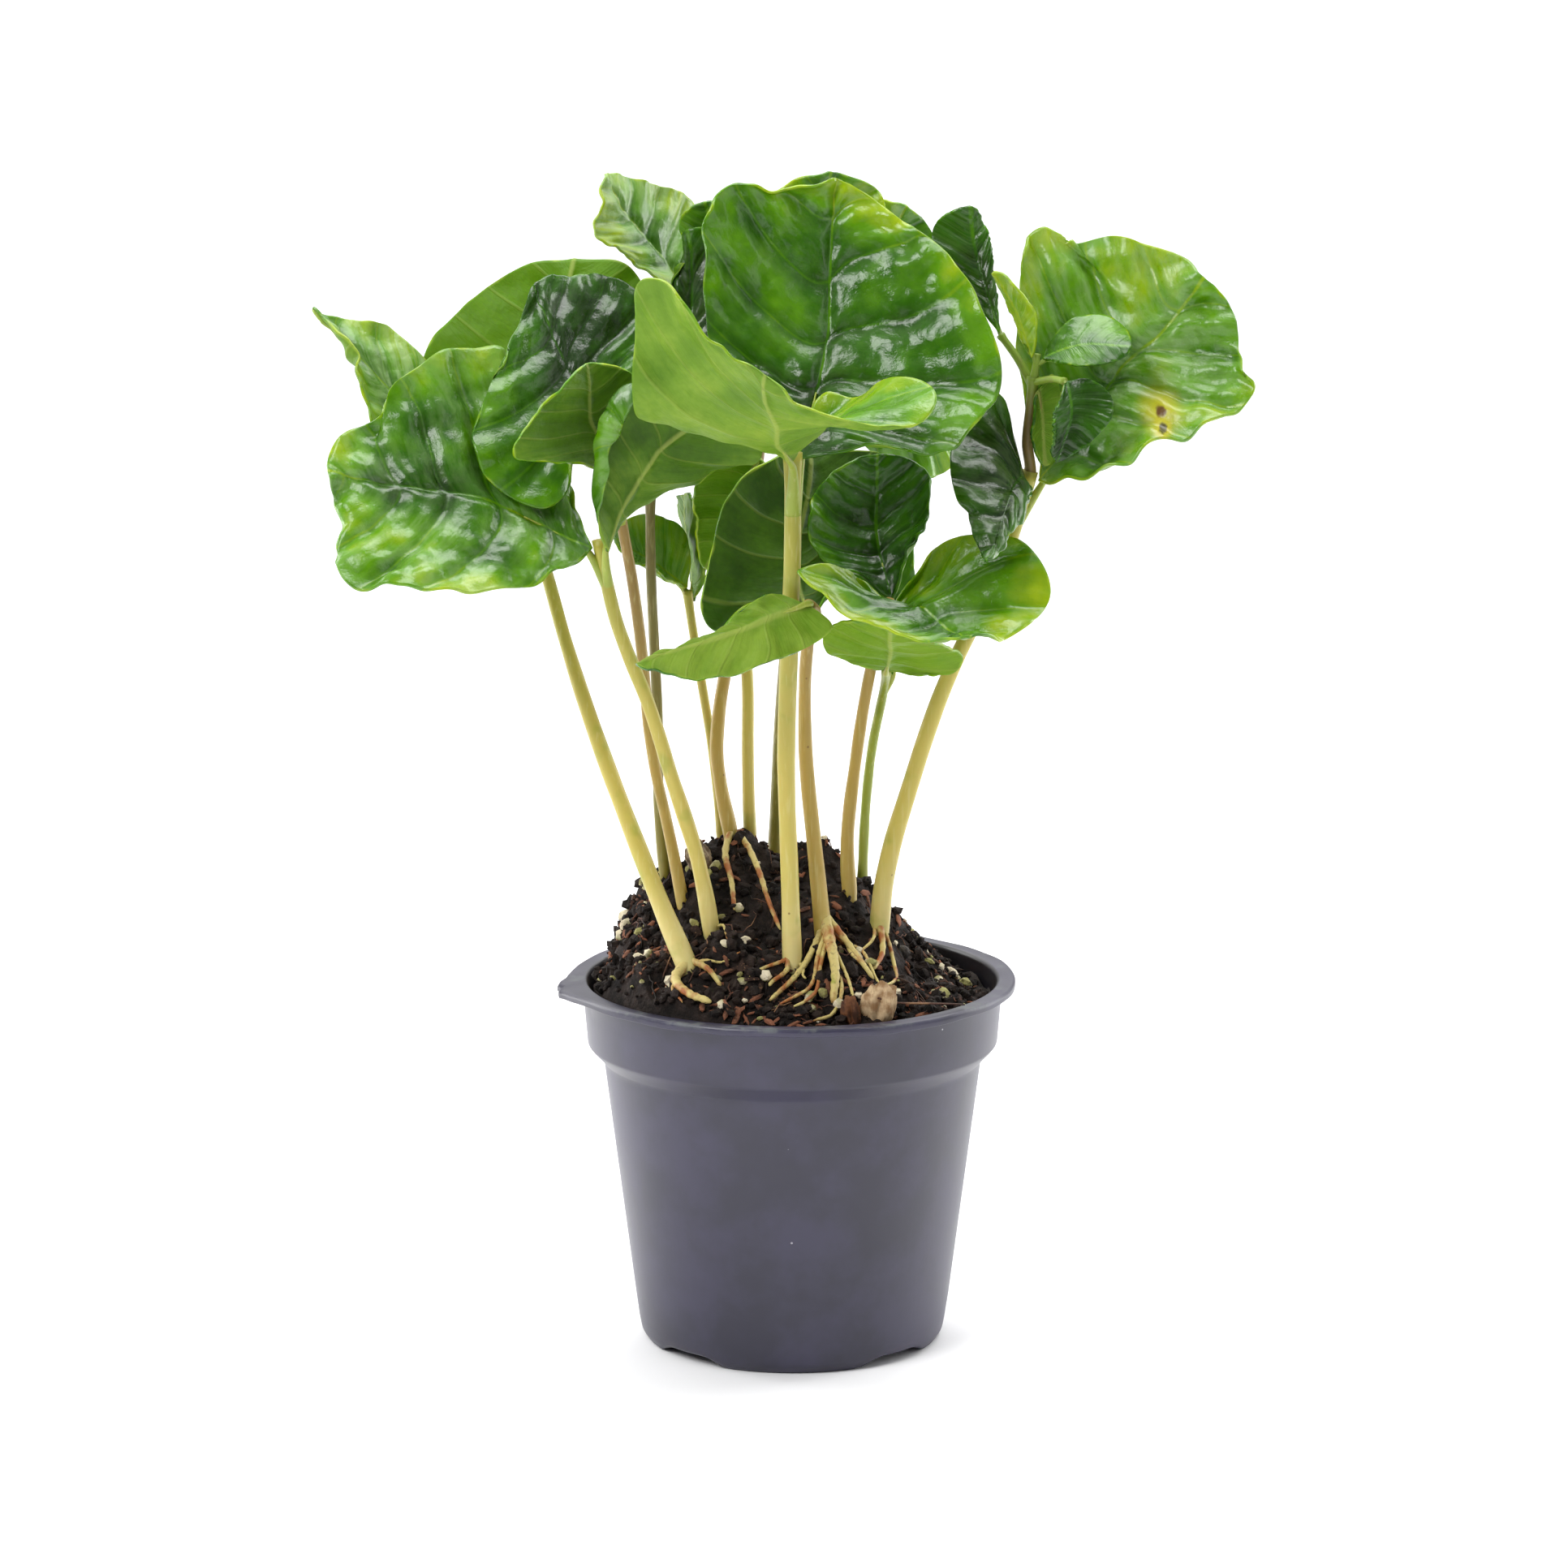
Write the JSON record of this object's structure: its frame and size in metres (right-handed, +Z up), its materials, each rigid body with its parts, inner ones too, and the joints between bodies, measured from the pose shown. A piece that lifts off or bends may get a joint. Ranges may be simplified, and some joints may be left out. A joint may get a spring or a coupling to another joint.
{
  "type": "potted plant",
  "caption": "Crowded coffee seedlings with broad glossy seed leaves on bare stems, rising from a mound of dark soil in a small round stepped plastic nursery pot.",
  "frame": {"origin": "centre of the flat disc on the pot's underside, on the pot's axis, where the pot stands on the table", "axes": "+Z up along the pot's axis, -Y towards the front of the plant as pictured, +X to the right as seen from the front"},
  "size_m": [0.1442, 0.1015, 0.1846],
  "materials": {
    "pot": "satin, slate grey",
    "soil": "crumbly, damp",
    "stem_cream": "smooth, pale yellow",
    "stem_tan": "smooth, tan",
    "shoot": "smooth, dark",
    "husk_pale": "dry, fibrous",
    "husk_brown": "dry, fibrous",
    "husk_left": "dry, fibrous",
    "leaf_bright": "glossy",
    "leaf_dark": "glossy, dark",
    "leaf_lit": "satin",
    "leaf_pale": "satin",
    "leaf_under": "matte"
  },
  "bodies": {
    "root": {"husk_brown": "husk_brown", "husk_left": "husk_left", "husk_pale": "husk_pale", "leaf_01a": "leaf_bright", "leaf_01b": "leaf_lit", "leaf_02a": "leaf_bright", "leaf_02b": "leaf_under", "leaf_03a": "leaf_lit", "leaf_03b": "leaf_dark", "leaf_04a": "leaf_dark", "leaf_04b": "leaf_dark", "leaf_05a": "leaf_pale", "leaf_05b": "leaf_dark", "leaf_06a": "leaf_dark", "leaf_06b": "leaf_lit", "leaf_07a": "leaf_bright", "leaf_07b": "leaf_bright", "leaf_08a": "leaf_under", "leaf_08b": "leaf_bright", "leaf_09a": "leaf_under", "leaf_09b": "leaf_under", "leaf_10a": "leaf_bright", "leaf_10b": "leaf_dark", "leaf_11a": "leaf_lit", "leaf_11b": "leaf_dark", "leaf_12a": "leaf_bright", "leaf_12b": "leaf_dark", "leaf_13a": "leaf_bright", "leaf_13b": "leaf_bright", "pot": "pot", "shoot": "shoot", "soil": "soil", "stem_01": "stem_cream", "stem_02": "stem_cream", "stem_03": "stem_tan", "stem_04": "stem_tan", "stem_05": "stem_cream", "stem_06": "stem_tan", "stem_07": "stem_cream", "stem_08": "stem_cream", "stem_09": "stem_tan", "stem_10": "stem_tan", "stem_11": "stem_cream", "stem_12": "stem_cream", "stem_13": "stem_tan", "true_leaf_1": "leaf_bright", "true_leaf_2": "leaf_bright", "true_leaf_3": "leaf_dark", "true_leaf_4": "leaf_lit", "true_leaf_5": "leaf_dark"}
  },
  "joints": []
}
